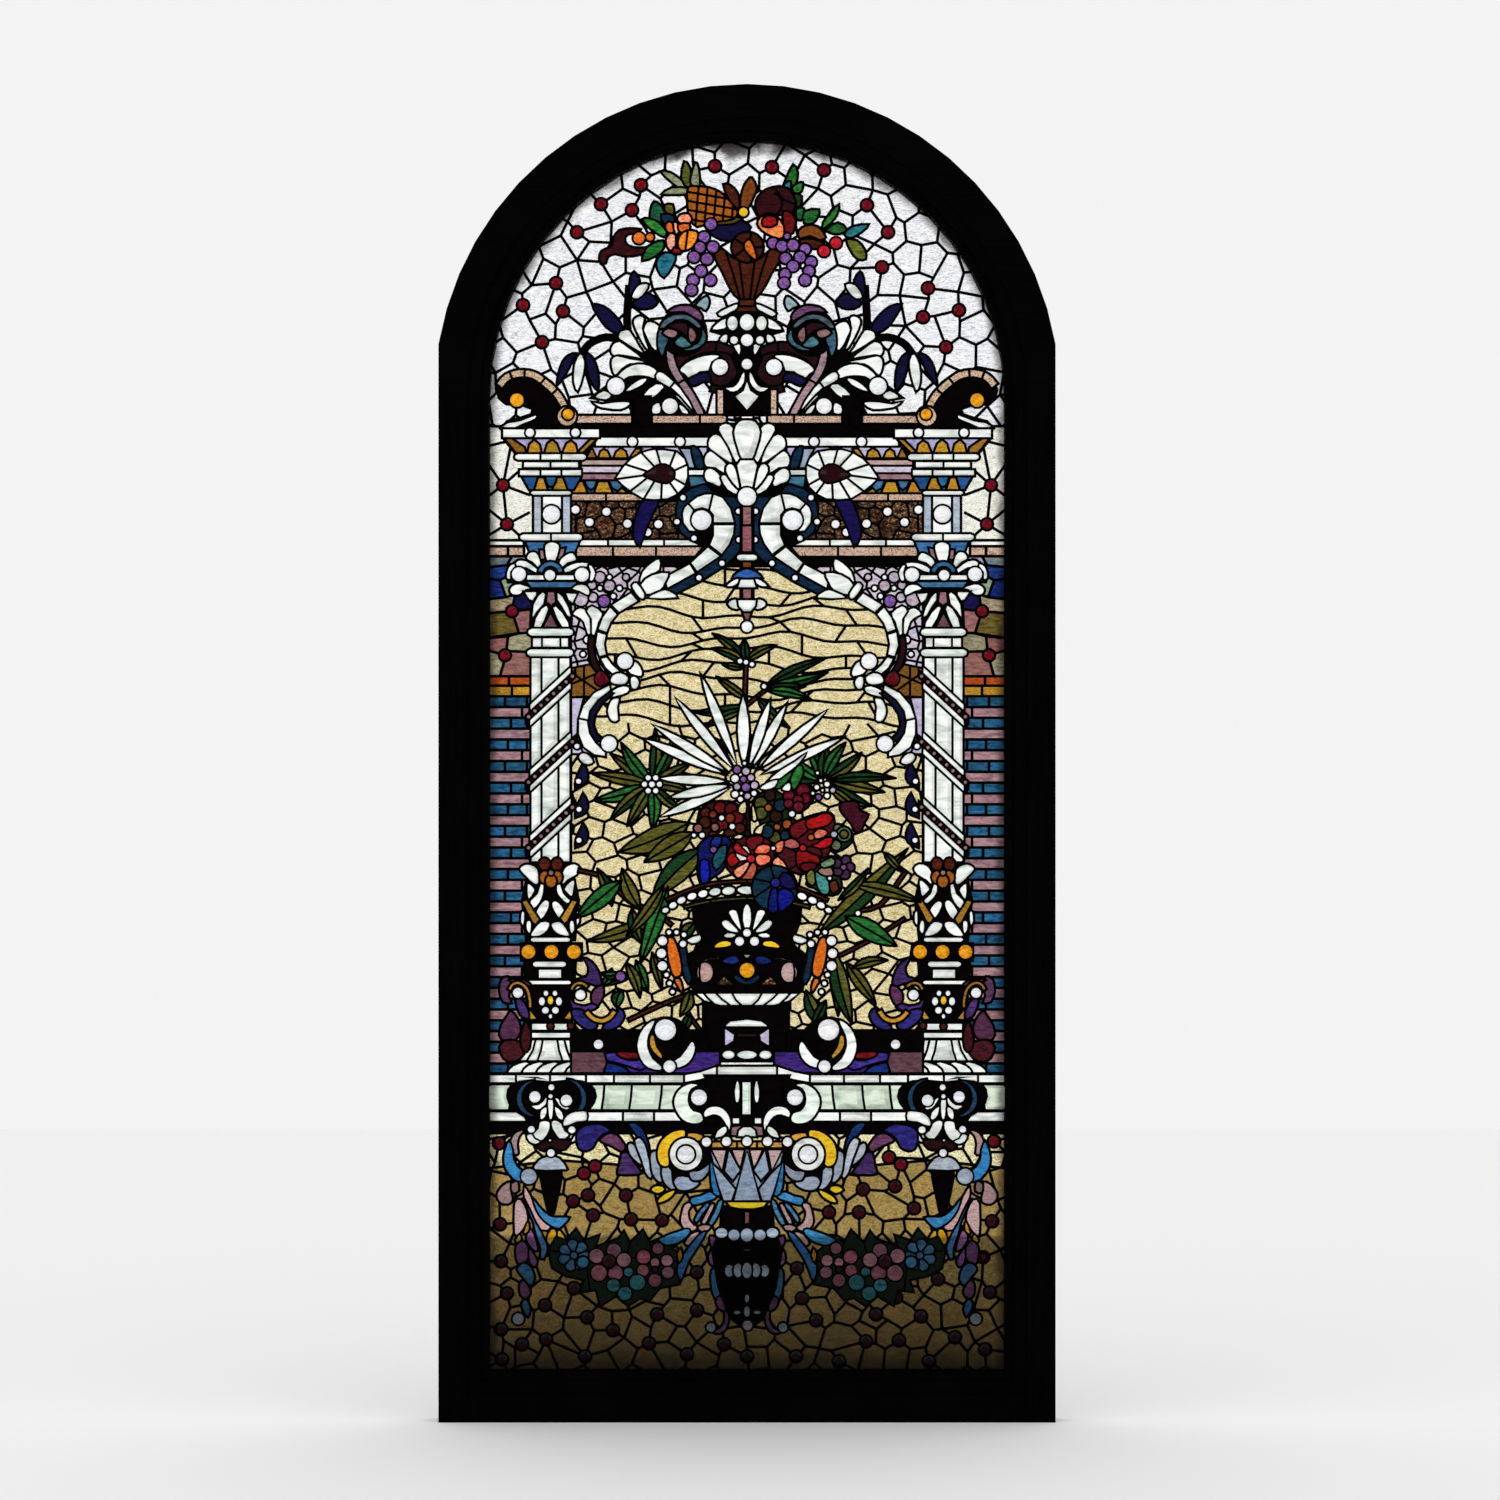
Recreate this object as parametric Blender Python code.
"""An arch-topped stained glass window panel in its dark wooden frame, upright as it is built into a wall.

+X runs to the viewer's right, +Y away from the viewer and +Z up. The origin is the middle of the frame's
underside, which sits on the sill of the wall opening. All lengths are in metres.

The leaded picture is drawn as a glazier draws it, on a cartoon: points (across, up) on a grid of squares that
is stretched to the frame's opening, so the picture follows the frame when a size of the frame changes.
"""

import math

import bmesh
import bpy

# Driving sizes of the wooden frame.
FRAME_WIDTH = 1.230
FRAME_HEIGHT = 2.668
FRAME_DEPTH = 0.070
STILE_WIDTH = 0.100
RAIL_HEIGHT = 0.100
HEAD_WIDTH = 0.109
MOULDING_WIDTH = 0.044
MOULDING_DEPTH = 0.006
SIGHT_EDGE_WIDTH = 0.018
SIGHT_EDGE_DEPTH = 0.014
REBATE_WIDTH = 0.014
ARCH_STEPS = 24

# Driving sizes of the leaded panel and its glass.
CAME_FACE = 0.006
CAME_DEPTH = 0.010
PANEL_SLACK = 0.002
SHEET_GLASS = 0.004
BEVELLED_GLASS = 0.007
CAST_GLASS = 0.009

# The gap that touching pieces keep, and how far a cutter runs past what it cuts.
CLEARANCE = 0.0003
OVERCUT = 0.020

# The cartoon's grid: half its width, the heights of the opening's foot and crown.
CARTOON_HALF_WIDTH = 257.5
CARTOON_FOOT = 50.0
CARTOON_CROWN = 1279.5

# What follows from the driving sizes.
OPENING_RADIUS = FRAME_WIDTH / 2 - STILE_WIDTH
HEAD_RADIUS = OPENING_RADIUS + HEAD_WIDTH
SPRING_HEIGHT = FRAME_HEIGHT - HEAD_RADIUS
OPENING_HEIGHT = FRAME_HEIGHT - HEAD_WIDTH - RAIL_HEIGHT
ACROSS_SCALE = OPENING_RADIUS / CARTOON_HALF_WIDTH
UP_SCALE = OPENING_HEIGHT / (CARTOON_CROWN - CARTOON_FOOT)
FRONT = -FRAME_DEPTH / 2
BACK = FRAME_DEPTH / 2

# The cartoon's repeated places, in grid squares.
FIELD_EDGE = 257.5
COLUMN_AXIS = 196.5
SHAFT_HALF = 20.0
CORNICE_FOOT = 984.0
CORNICE_TOP = 1007.0
CORNICE_END = 183.0
FRIEZE_FOOT = 863.0
FRIEZE_END = 176.0
BRICK_TOP = 745.0
SPANDREL_FOOT = 640.0
PLINTH_FOOT = 346.0
PLINTH_TOP = 388.0
RAIL_FOOT = 288.0
VOLUTE_EYE = (-45.6, 899.7)
VOLUTE_RADIUS = 25.0
RIB_WIDTH = 16.0
SCROLL_WIDTH = 13.0
PALM_VALLEY = 38.0

# Vertices of one plate nearer than this are one.
SMALLEST_STEP = 1e-6


def mirrored(outline):
    """The same outline on the other side of the window's centre line."""
    return [(-across, up) for across, up in reversed(outline)]


def arc(centre, radius, start, end, steps):
    """Points along a circle from one angle to another, in degrees."""
    points = []
    for i in range(steps + 1):
        angle = math.radians(start + (end - start) * i / steps)
        points.append((centre[0] + radius * math.cos(angle), centre[1] + radius * math.sin(angle)))
    return points


def stacked(axis, rows):
    """The outline of a thing that is the same on both sides of an axis, from its (half width, up) rows."""
    right = [(axis + half, up) for half, up in rows]
    left = [(axis - half, up) for half, up in reversed(rows) if half > 0]
    return right + left


def box(left, right, foot, top):
    """A rectangle's four corners."""
    return [(left, foot), (right, foot), (right, top), (left, top)]


def side_of(path, reach):
    """A path moved sideways by reach, to its left where reach is positive."""
    moved = []
    for i, (across, up) in enumerate(path):
        before = path[max(i - 1, 0)]
        after = path[min(i + 1, len(path) - 1)]
        run = math.hypot(after[0] - before[0], after[1] - before[1])
        normal = ((before[1] - after[1]) / run, (after[0] - before[0]) / run)
        moved.append((across + reach * normal[0], up + reach * normal[1]))
    return moved


def band(path, width):
    """The outline of a ribbon of one width along a path."""
    return side_of(path, width / 2) + list(reversed(side_of(path, -width / 2)))


def spiked(centre, tips, valley):
    """A spray of pointed leaves: between two tips the outline falls back to a valley this far from the centre."""
    points = []
    for tip, following in zip(tips, tips[1:]):
        middle = ((tip[0] + following[0]) / 2 - centre[0], (tip[1] + following[1]) / 2 - centre[1])
        reach = valley / math.hypot(*middle)
        points += [tip, (centre[0] + middle[0] * reach, centre[1] + middle[1] * reach)]
    return points + [tips[-1]]


def opening(grow):
    """The arched opening in metres, made larger by grow: foot, side and semicircular head."""
    side = OPENING_RADIUS + grow
    foot = RAIL_HEIGHT - grow
    return [(-side, foot), (side, foot)] + arc((0, SPRING_HEIGHT), side, 0, 180, ARCH_STEPS)


def on_panel(outline):
    """Cartoon points as metres on the panel."""
    return [(u * ACROSS_SCALE, RAIL_HEIGHT + (v - CARTOON_FOOT) * UP_SCALE) for u, v in outline]


def area_of(points):
    """Twice the signed area of a closed outline, positive where it runs anticlockwise."""
    return sum(a[0] * b[1] - b[0] * a[1] for a, b in zip(points, points[1:] + points[:1]))


def grown(points, by):
    """A closed outline in metres, moved outwards by a distance, or inwards where it is negative."""
    points = points if area_of(points) > 0 else list(reversed(points))
    moved = []
    for i, (x, z) in enumerate(points):
        before = points[i - 1]
        after = points[(i + 1) % len(points)]
        first = (x - before[0], z - before[1])
        second = (after[0] - x, after[1] - z)
        length_1 = math.hypot(*first)
        length_2 = math.hypot(*second)
        normal_1 = (first[1] / length_1, -first[0] / length_1)
        normal_2 = (second[1] / length_2, -second[0] / length_2)
        spread = max(1 + normal_1[0] * normal_2[0] + normal_1[1] * normal_2[1], 0.5)
        moved.append(
            (x + by * (normal_1[0] + normal_2[0]) / spread, z + by * (normal_1[1] + normal_2[1]) / spread)
        )
    return moved


def clear_scene():
    """Removes every object of the scene."""
    for thing in list(bpy.data.objects):
        bpy.data.objects.remove(thing)


def collection(name):
    """A new collection in the scene."""
    made = bpy.data.collections.new(name)
    bpy.context.scene.collection.children.link(made)
    return made


def material(name, colour, roughness, metallic=0.0):
    """A Principled material with one colour."""
    made = bpy.data.materials.new(name)
    made.use_nodes = True
    shader = made.node_tree.nodes["Principled BSDF"]
    shader.inputs["Base Color"].default_value = (*colour, 1.0)
    shader.inputs["Roughness"].default_value = roughness
    shader.inputs["Metallic"].default_value = metallic
    made.diffuse_color = (*colour, 1.0)
    return made


def plate(name, points, front, back, group):
    """A flat piece with this outline in the XZ plane, from y = front to y = back."""
    curve = bpy.data.curves.new(name, "CURVE")
    curve.dimensions = "2D"
    curve.fill_mode = "BOTH"
    curve.extrude = (back - front) / 2
    spline = curve.splines.new("POLY")
    spline.points.add(len(points) - 1)
    for point, (x, z) in zip(spline.points, points):
        point.co = (x, z, 0.0, 1.0)
    spline.use_cyclic_u = True
    drawn = bpy.data.objects.new(name + "_drawn", curve)
    drawn.rotation_euler = (math.pi / 2, 0.0, 0.0)
    drawn.location = (0.0, (front + back) / 2, 0.0)
    bpy.context.scene.collection.objects.link(drawn)
    bpy.context.view_layer.update()
    evaluated = drawn.evaluated_get(bpy.context.evaluated_depsgraph_get())
    mesh = bpy.data.meshes.new_from_object(evaluated)
    mesh.name = name
    piece = bpy.data.objects.new(name, mesh)
    piece.matrix_world = drawn.matrix_world.copy()
    bpy.data.objects.remove(drawn)
    shell = bmesh.new()
    shell.from_mesh(mesh)
    bmesh.ops.remove_doubles(shell, verts=shell.verts, dist=SMALLEST_STEP)
    bmesh.ops.recalc_face_normals(shell, faces=shell.faces)
    shell.to_mesh(mesh)
    shell.free()
    group.objects.link(piece)
    return piece


def as_cutter(piece):
    """Marks a plate as a helper that only cuts others."""
    piece.hide_render = True
    piece.display_type = "WIRE"
    return piece


def boolean(piece, cutter, operation="DIFFERENCE"):
    """Cuts, joins or trims a piece with another."""
    step = piece.modifiers.new(operation.lower(), "BOOLEAN")
    step.operation = operation
    step.object = cutter
    step.solver = "EXACT"


def flatten(piece):
    """Merges the pieces that cutting leaves of a flat face, as the last step of a piece."""
    step = piece.modifiers.new("flatten", "DECIMATE")
    step.decimate_type = "DISSOLVE"
    step.angle_limit = math.radians(0.5)


def joined(name, pieces, group):
    """One helper object from the evaluated meshes of several."""
    graph = bpy.context.evaluated_depsgraph_get()
    whole = bmesh.new()
    for piece in pieces:
        mesh = bpy.data.meshes.new_from_object(piece.evaluated_get(graph))
        mesh.transform(piece.matrix_world)
        whole.from_mesh(mesh)
        bpy.data.meshes.remove(mesh)
    mesh = bpy.data.meshes.new(name)
    whole.to_mesh(mesh)
    whole.free()
    made = bpy.data.objects.new(name, mesh)
    group.objects.link(made)
    return made


class Glass:
    """One group of leaded glass: its name, outlines on the cartoon, thickness and colour name."""

    def __init__(self, name, outline, depth, colour, more=()):
        self.name = name
        self.outlines = [outline, *more]
        self.depth = depth
        self.colour = colour

    def twin(self):
        """The same group on the window's right side."""
        first, *more = [mirrored(outline) for outline in self.outlines]
        return Glass(self.name.replace("left_", "right_"), first, self.depth, self.colour, more)

    def bounds(self):
        """The group's box on the cartoon: left, right, foot, top."""
        across = [u for outline in self.outlines for u, _ in outline]
        up = [v for outline in self.outlines for _, v in outline]
        return min(across), max(across), min(up), max(up)

    def meets(self, other):
        """Whether the two groups' boxes come within two squares of each other."""
        a, b = self.bounds(), other.bounds()
        return a[0] < b[1] + 2 and b[0] < a[1] + 2 and a[2] < b[3] + 2 and b[2] < a[3] + 2


def fruit_outline():
    """The basket with its heap of fruit, grapes and leaves, clockwise from the foot."""
    grapes = [(-9, 1107), (-12, 1120), (-26, 1138), (-42, 1132), (-56, 1122), (-66, 1138), (-74, 1144), (-84, 1164)]
    stem = [(-98, 1158), (-106, 1172), (-118, 1170), (-134, 1160), (-140, 1176), (-126, 1194), (-108, 1192)]
    crown = [(-92, 1222), (-78, 1210), (-86, 1246), (-62, 1238), (-50, 1260), (-44, 1234), (-14, 1230), (-8, 1244)]
    plum = [(4, 1242), (8, 1228), (26, 1234), (46, 1256), (52, 1216), (72, 1204), (92, 1216), (98, 1204)]
    cherries = [(124, 1198), (108, 1184), (120, 1160), (104, 1166), (86, 1162), (72, 1176), (66, 1150)]
    return grapes + stem + crown + plum + cherries + [(58, 1132), (34, 1128), (20, 1134), (12, 1120), (9, 1107)]


def scroll_outline():
    """The left acanthus scroll beside the finial, with its rose, leaf fan and two sprigs."""
    rose = [(0, 1006), (0, 1040), (-20, 1066), (-34, 1074), (-42, 1084), (-40, 1106), (-52, 1117), (-76, 1112)]
    sprig = [(-88, 1104), (-104, 1108), (-104, 1130), (-113, 1148), (-117, 1124), (-114, 1104), (-134, 1096)]
    leaf = [(-154, 1116), (-144, 1088), (-160, 1080), (-176, 1068), (-184, 1050), (-162, 1064)]
    return rose + sprig + leaf + [(-140, 1064), (-144, 1040), (-136, 1026), (-158, 1016), (-156, 1006)]


def horn_outline():
    """The left black horn that ends the pediment."""
    top = [(-250, 1030), (-246, 1041), (-235, 1049), (-219, 1051), (-206, 1049), (-194, 1041), (-184, 1030)]
    foot = [(-178, 1019), (-173, 1006), (-175, 996), (-183, 994.5), (-245, 994.5), (-238, 1002), (-220, 1010)]
    return top + foot + [(-242, 1012), (-249, 1020)]


def palm_outline():
    """The pale palm leaves that spring from the bouquet."""
    tips = [(97, 685), (81, 710), (32, 721), (-3, 737), (-46, 747), (-72, 722), (-101, 690), (-91, 642)]
    return [(20, 616), *spiked((-4, 630), tips, PALM_VALLEY), (-24, 616)]


def bouquet_outline():
    """The flowers in the urn's mouth, clockwise from the left."""
    top = [(-50, 600), (-40, 626), (-14, 629), (10, 623), (30, 627), (52, 630), (72, 612), (104, 620), (120, 606)]
    right = [(106, 590), (88, 584), (86, 560), (98, 550), (84, 540), (58, 548), (50, 530), (30, 516), (8, 530)]
    return top + right + [(-4, 544), (-36, 542), (-52, 556), (-46, 580)]


def garland_outline():
    """The left swag of flowers, clockwise from its left end."""
    top = [(-198, 160), (-186, 170), (-158, 174), (-140, 184), (-122, 176), (-88, 182), (-56, 166)]
    return top + [(-72, 140), (-104, 128), (-116, 114), (-136, 118), (-150, 132), (-168, 140), (-190, 144)]


def rib_path():
    """The left rib's centre line, from its volute down to the cusp."""
    start = (VOLUTE_EYE[0] + VOLUTE_RADIUS - RIB_WIDTH / 2, VOLUTE_EYE[1])
    return [start, (-27, 880), (-46, 859), (-70, 846), (-98, 831), (-122, 816), (-138, 798), (-144, 776)]


def lower_scroll_path():
    """The left lower scroll's centre line, from the cusp round to its jewel."""
    return [(-138, 761), (-124, 748), (-140, 731), (-157, 716), (-163, 699), (-160, 683), (-146, 673)]


def field_outline():
    """The amber field inside the ogee arch: up the left rib and down the right one."""
    edge = -COLUMN_AXIS + SHAFT_HALF
    inside = [(edge, PLINTH_TOP), (edge, 668), *reversed(lower_scroll_path()), *reversed(rib_path()[1:])]
    return inside + mirrored(inside)


def upper_ground():
    """The clear glass over the frieze and down both its ends."""
    end = FRIEZE_END - 6
    top = [(FIELD_EDGE, FRIEZE_FOOT), (FIELD_EDGE, CARTOON_CROWN), (-FIELD_EDGE, CARTOON_CROWN)]
    foot = [(-FIELD_EDGE, FRIEZE_FOOT), (-end, FRIEZE_FOOT), (-end, CORNICE_FOOT + 6)]
    return top + foot + [(end, CORNICE_FOOT + 6), (end, FRIEZE_FOOT)]


def centre_groups():
    """The groups on the centre line, front to back."""
    finial = [(10, 1112), (26, 1112), (34, 1098), (24, 1084), (14, 1072), (8, 1060), (8, 1050), (14, 1034), (5, 1010)]
    pendant = [(28, 931), (20, 912), (14, 890), (6, 876), (17, 850), (17, 845), (7, 836), (7, 822), (16, 818)]
    tip = [(16, 808), (6, 802), (6, 788)]
    stand = [(42, 414), (42, 360), (46, 342), (72, 338), (74, 312), (64, 300), (46, 292), (44, 264)]
    bowl = [(43, 270), (28, 214), (60, 222), (88, 208), (84, 186), (62, 172), (70, 146), (46, 132), (34, 146)]
    drop = [(33, 128), (20, 112), (6, 84)]
    urn = [(60, 536), (84, 524), (78, 514), (50, 508), (42, 490), (80, 478), (84, 440), (70, 424), (50, 418)]
    return [
        Glass("shell", arc((0, 961), 40, -38, 218, 12) + arc((0, 925), 12, 205, 335, 4), BEVELLED_GLASS, "bevel"),
        Glass("fruit_basket", fruit_outline(), CAST_GLASS, "fruit"),
        Glass("finial", stacked(0, finial), BEVELLED_GLASS, "bevel"),
        Glass("pendant", stacked(0, pendant + tip), BEVELLED_GLASS, "bevel"),
        Glass("bouquet", bouquet_outline(), CAST_GLASS, "rose"),
        Glass("urn", stacked(-3, urn + [(30, 406)]), CAST_GLASS, "black"),
        Glass("stand_and_console", stacked(0, stand), BEVELLED_GLASS, "black"),
        Glass("bowl_and_drop", stacked(0, bowl + drop), CAST_GLASS, "feather"),
        Glass("palm_spray", palm_outline(), BEVELLED_GLASS, "bevel"),
    ]


def side_groups():
    """The left groups that stand before the rest: pediment, column, bracket, wing, ribbon and garland."""
    axis = -COLUMN_AXIS
    abacus = [(48, 992), (48, 978), (37, 967), (37, 960), (31, 958), (31, 943), (22, 930), (19, 924), (19, 888)]
    cap = [(32, 886), (29, 877), (27, 868), (45, 852), (45, 842), (40, 834), (42, 824), (30, 820), (23, 812)]
    shaft = [(23, 792), (23, 763), (SHAFT_HALF, 761), (SHAFT_HALF + 2, 563)]
    foot = [(31, 563), (31, 548), (24, 534), (32, 512), (27, 492), (28, 460), (17, 458), (17, 444), (22, 440)]
    base = [(22, 428), (13, 406), (22, 398), (22, 382), (28, 362), (40, 356), (40, 349)]
    bracket = [(24, 339), (42, 330), (42, 310), (26, 298), (24, 278), (14, 268), (20, 254), (9, 240), (3, 206)]
    wing = [(-36, 262), (-36, 292), (-118, 292), (-122, 266), (-102, 240), (-84, 228), (-40, 226)]
    tassel = [(-252, 276), (-247, 248), (-238, 236), (-252, 214), (-240, 190), (-238, 150), (-230, 110), (-234, 92)]
    knot = [(-222, 88), (-218, 104), (-208, 150), (-204, 176), (-182, 190), (-168, 208), (-196, 204), (-214, 232)]
    return [
        Glass("left_pediment_horn", horn_outline(), BEVELLED_GLASS, "black"),
        Glass("left_acanthus_scroll", scroll_outline(), BEVELLED_GLASS, "bevel"),
        Glass("left_column_head", stacked(axis, abacus), BEVELLED_GLASS, "bevel"),
        Glass("left_capital", stacked(axis, cap + [(23, 790)]), BEVELLED_GLASS, "bevel"),
        Glass("left_column_shaft", stacked(axis, shaft), BEVELLED_GLASS, "bevel"),
        Glass("left_column_foot", stacked(axis, foot + base), CAST_GLASS, "bevel"),
        Glass("left_bracket", stacked(axis, bracket), BEVELLED_GLASS, "bevel"),
        Glass("left_roundel_wing", wing, CAST_GLASS, "feather"),
        Glass("left_ribbon", tassel + knot + [(-224, 262)], SHEET_GLASS, "pink"),
        Glass("left_garland", garland_outline(), CAST_GLASS, "flower"),
    ]


def backing_groups():
    """The left groups that the others stand before: ribs, leaves, frieze, rail and the strips by the frame."""
    strip_end = -COLUMN_AXIS + SHAFT_HALF / 2
    field_edge = -COLUMN_AXIS + SHAFT_HALF
    volute = arc(VOLUTE_EYE, VOLUTE_RADIUS, 0, 330, 11)
    leaves = [(field_edge, 470), (-160, 468), (-148, 450), (-142, 425), (-120, 414), (-128, 386), (field_edge, 386)]
    frieze = [(-FRIEZE_END, FRIEZE_FOOT), (-50, FRIEZE_FOOT), (-28, 884), (-28, CORNICE_FOOT)]
    return [
        Glass("left_rib", band(rib_path(), RIB_WIDTH), BEVELLED_GLASS, "bevel", [volute]),
        Glass("left_lower_scroll", band(lower_scroll_path(), SCROLL_WIDTH), BEVELLED_GLASS, "bevel"),
        Glass("left_purple_leaves", leaves, SHEET_GLASS, "purple"),
        Glass("left_frieze", frieze + [(-FRIEZE_END, CORNICE_FOOT)], SHEET_GLASS, "marble"),
        Glass("left_plinth_band", box(-FRIEZE_END, -38, PLINTH_FOOT, PLINTH_TOP), SHEET_GLASS, "purple"),
        Glass("left_rail", box(-FIELD_EDGE, -42, RAIL_FOOT, PLINTH_FOOT), BEVELLED_GLASS, "bevel"),
        Glass("left_brickwork", box(-FIELD_EDGE, strip_end, PLINTH_FOOT, BRICK_TOP), SHEET_GLASS, "brick"),
        Glass("left_landscape", box(-FIELD_EDGE, strip_end, BRICK_TOP, FRIEZE_FOOT), SHEET_GLASS, "landscape"),
    ]


def cartoon():
    """Every group of the picture, front to back: one that comes first keeps its outline, and cuts the rest."""
    in_front = [group for left in side_groups() for group in (left, left.twin())]
    behind = [group for left in backing_groups() for group in (left, left.twin())]
    spandrel_box = box(-COLUMN_AXIS + SHAFT_HALF, -30, SPANDREL_FOOT, FRIEZE_FOOT)
    spandrel = Glass("left_spandrel", spandrel_box, SHEET_GLASS, "lilac")
    fields = [
        Glass("cornice", box(-CORNICE_END, CORNICE_END, CORNICE_FOOT, CORNICE_TOP), SHEET_GLASS, "black"),
        Glass("amber_field", field_outline(), SHEET_GLASS, "amber"),
        spandrel,
        spandrel.twin(),
        Glass("upper_glass", upper_ground(), SHEET_GLASS, "clear"),
        Glass("lower_glass", box(-FIELD_EDGE, FIELD_EDGE, CARTOON_FOOT, RAIL_FOOT), SHEET_GLASS, "gold"),
    ]
    return centre_groups() + in_front + behind + fields


def build_frame(wood, parts, cutters):
    """The frame's two stiles, bottom rail and curved head, rebated behind and moulded in two steps in front."""
    outer = FRAME_WIDTH / 2
    head_side = min(outer, HEAD_RADIUS)
    kink = math.degrees(math.acos(head_side / HEAD_RADIUS))
    springing = SPRING_HEIGHT
    head = (
        [(head_side, springing)] * (kink > 0)
        + arc((0, springing), HEAD_RADIUS, kink, 180 - kink, ARCH_STEPS)
        + [(-head_side, springing)] * (kink > 0)
        + arc((0, springing), OPENING_RADIUS, 180, 0, ARCH_STEPS)
    )
    stile = [(OPENING_RADIUS, 0), (outer, 0), (outer, springing - CLEARANCE), (OPENING_RADIUS, springing - CLEARANCE)]
    reach = OPENING_RADIUS - CLEARANCE
    rail = [(-reach, 0), (reach, 0), (reach, RAIL_HEIGHT), (-reach, RAIL_HEIGHT)]
    rebate_front = -CAME_DEPTH / 2 - CLEARANCE
    rebate = as_cutter(plate("rebate_cutter", opening(REBATE_WIDTH), rebate_front, BACK + OVERCUT, cutters))
    before = FRONT - OVERCUT
    moulding = plate("moulding_cutter", opening(MOULDING_WIDTH), before, FRONT + MOULDING_DEPTH, cutters)
    sight_edge = plate("sight_edge_cutter", opening(SIGHT_EDGE_WIDTH), before, FRONT + SIGHT_EDGE_DEPTH, cutters)
    members = {"frame_head": head, "right_stile": stile, "left_stile": mirrored(stile), "bottom_rail": rail}
    for name, outline in members.items():
        member = plate(name, outline, FRONT, BACK, parts)
        member.data.materials.append(wood)
        boolean(member, rebate)
        boolean(member, as_cutter(moulding))
        boolean(member, as_cutter(sight_edge))
        flatten(member)


def build_beads(wood, parts):
    """The four glazing beads that hold the leaded panel in the rebate from behind."""
    inner = OPENING_RADIUS
    outer = OPENING_RADIUS + REBATE_WIDTH - CLEARANCE
    foot = RAIL_HEIGHT - REBATE_WIDTH + CLEARANCE
    front = CAME_DEPTH / 2 + CLEARANCE
    springing = SPRING_HEIGHT
    arch = arc((0, springing), outer, 0, 180, ARCH_STEPS) + arc((0, springing), inner, 180, 0, ARCH_STEPS)
    side = [(inner, foot), (outer, foot), (outer, springing - CLEARANCE), (inner, springing - CLEARANCE)]
    reach = inner - CLEARANCE
    sill = [(-reach, foot), (reach, foot), (reach, RAIL_HEIGHT), (-reach, RAIL_HEIGHT)]
    beads = {"head_bead": arch, "right_bead": side, "left_bead": mirrored(side), "bottom_bead": sill}
    for name, outline in beads.items():
        bead = plate(name, outline, front, BACK, parts)
        bead.data.materials.append(wood)


def region(group, grow, depth, name, where):
    """A group's outlines as one plate, each moved outwards by grow."""
    first, *more = [grown(on_panel(outline), grow) for outline in group.outlines]
    piece = plate(name, first, -depth / 2, depth / 2, where)
    for i, outline in enumerate(more):
        extra = as_cutter(plate(f"{name}_more_{i}", outline, -depth / 2, depth / 2, where))
        boolean(piece, extra, "UNION")
    return piece


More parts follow.
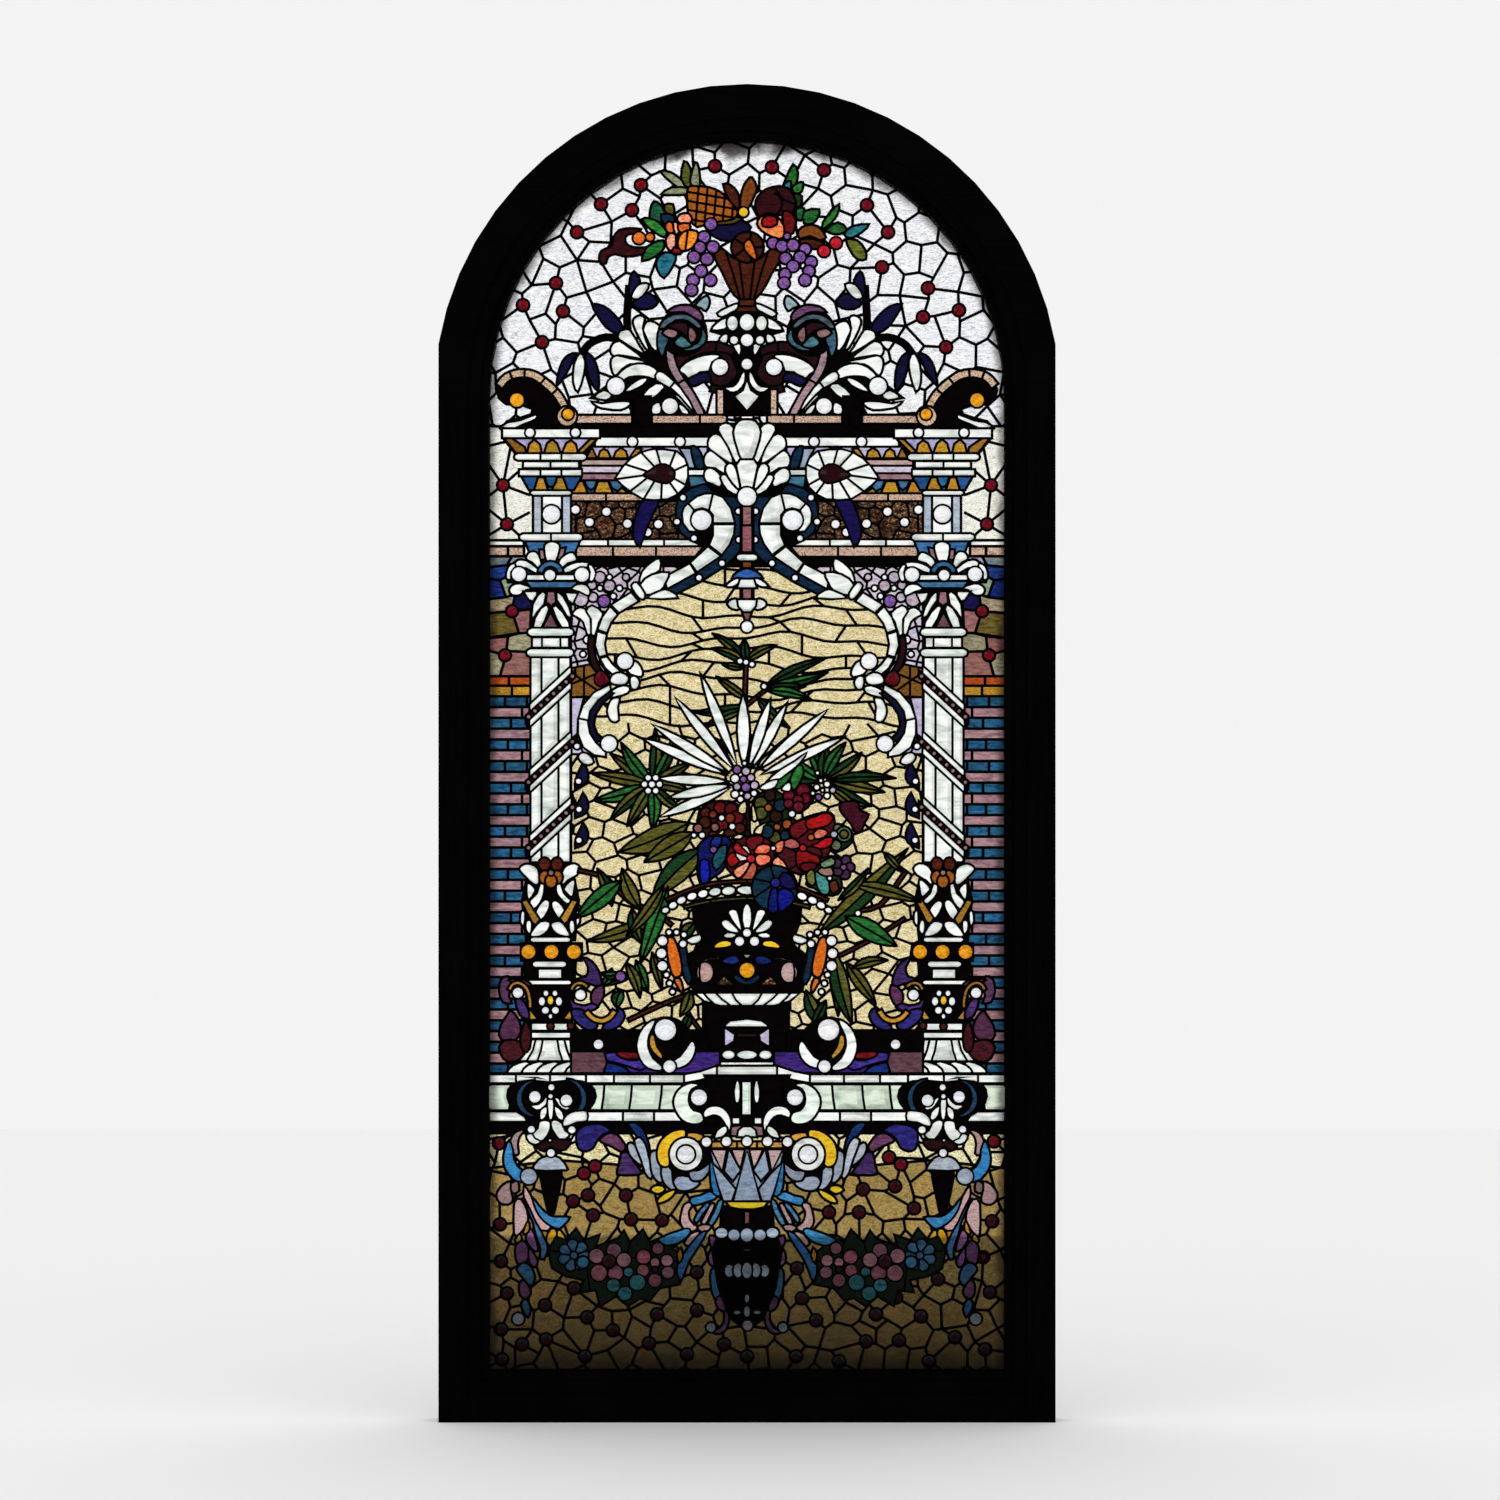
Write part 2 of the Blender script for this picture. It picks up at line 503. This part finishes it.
def build_panel(colours, parts, cutters):
    """The leaded panel: each group of glass in its own opening of one lattice of lead."""
    groups = cartoon()
    half_came = CAME_FACE / 2
    keepers = {}
    holes = []
    inside = opening(-CLEARANCE)
    glass_edge = as_cutter(plate("glass_edge", grown(inside, -CLEARANCE), -CAME_DEPTH, CAME_DEPTH, cutters))
    hole_edge = as_cutter(plate("hole_edge", inside, -CAME_DEPTH * 2, CAME_DEPTH * 2, cutters))
    for i, group in enumerate(groups):
        in_front = [other for other in groups[:i] if other.meets(group)]
        piece = region(group, -half_came, group.depth, group.name, parts)
        piece.data.materials.append(colours[group.colour])
        boolean(piece, glass_edge, "INTERSECT")
        hole = as_cutter(region(group, CLEARANCE - half_came, CAME_DEPTH * 1.5, group.name + "_hole", cutters))
        boolean(hole, hole_edge, "INTERSECT")
        for other in in_front:
            boolean(piece, keepers[other.name][0])
            boolean(hole, keepers[other.name][1])
        flatten(piece)
        flatten(hole)
        wide = as_cutter(region(group, half_came, CAME_DEPTH * 3, group.name + "_wide", cutters))
        near = as_cutter(region(group, half_came - CLEARANCE, CAME_DEPTH * 3, group.name + "_near", cutters))
        keepers[group.name] = (wide, near)
        holes.append(hole)
    bpy.context.view_layer.update()
    panel_edge = opening(REBATE_WIDTH - PANEL_SLACK)
    lead = plate("lead_lattice", panel_edge, -CAME_DEPTH / 2, CAME_DEPTH / 2, parts)
    lead.data.materials.append(colours["lead"])
    boolean(lead, as_cutter(joined("all_holes", holes, cutters)))
    flatten(lead)


def main():
    """Builds the frame, the beads and the leaded panel."""
    clear_scene()
    parts = collection("stained_glass_window_panel")
    cutters = collection("cutters")
    wood = material("dark_stained_wood", (0.012, 0.006, 0.004), 0.45)
    colours = {
        "lead": material("lead_came", (0.05, 0.05, 0.055), 0.5, 1.0),
        "clear": material("clear_rippled_glass", (0.85, 0.88, 0.92), 0.15),
        "bevel": material("bevelled_plate_glass", (0.90, 0.93, 0.88), 0.05),
        "black": material("black_glass", (0.006, 0.004, 0.006), 0.1),
        "amber": material("cream_amber_glass", (0.75, 0.66, 0.33), 0.15),
        "gold": material("old_gold_glass", (0.38, 0.27, 0.11), 0.15),
        "brick": material("blue_brick_glass", (0.05, 0.20, 0.32), 0.15),
        "landscape": material("streaky_blue_rose_glass", (0.30, 0.25, 0.34), 0.15),
        "lilac": material("lilac_glass", (0.55, 0.45, 0.62), 0.15),
        "marble": material("marbled_brown_glass", (0.30, 0.20, 0.13), 0.15),
        "purple": material("purple_glass", (0.18, 0.10, 0.32), 0.15),
        "fruit": material("fruit_orange_glass", (0.55, 0.22, 0.05), 0.15),
        "rose": material("ruby_flower_glass", (0.40, 0.03, 0.03), 0.15),
        "feather": material("grey_blue_glass", (0.42, 0.48, 0.60), 0.15),
        "flower": material("garland_flower_glass", (0.20, 0.25, 0.30), 0.15),
        "pink": material("pink_ribbon_glass", (0.65, 0.45, 0.52), 0.15),
    }
    build_frame(wood, parts, cutters)
    build_beads(wood, parts)
    build_panel(colours, parts, cutters)


main()
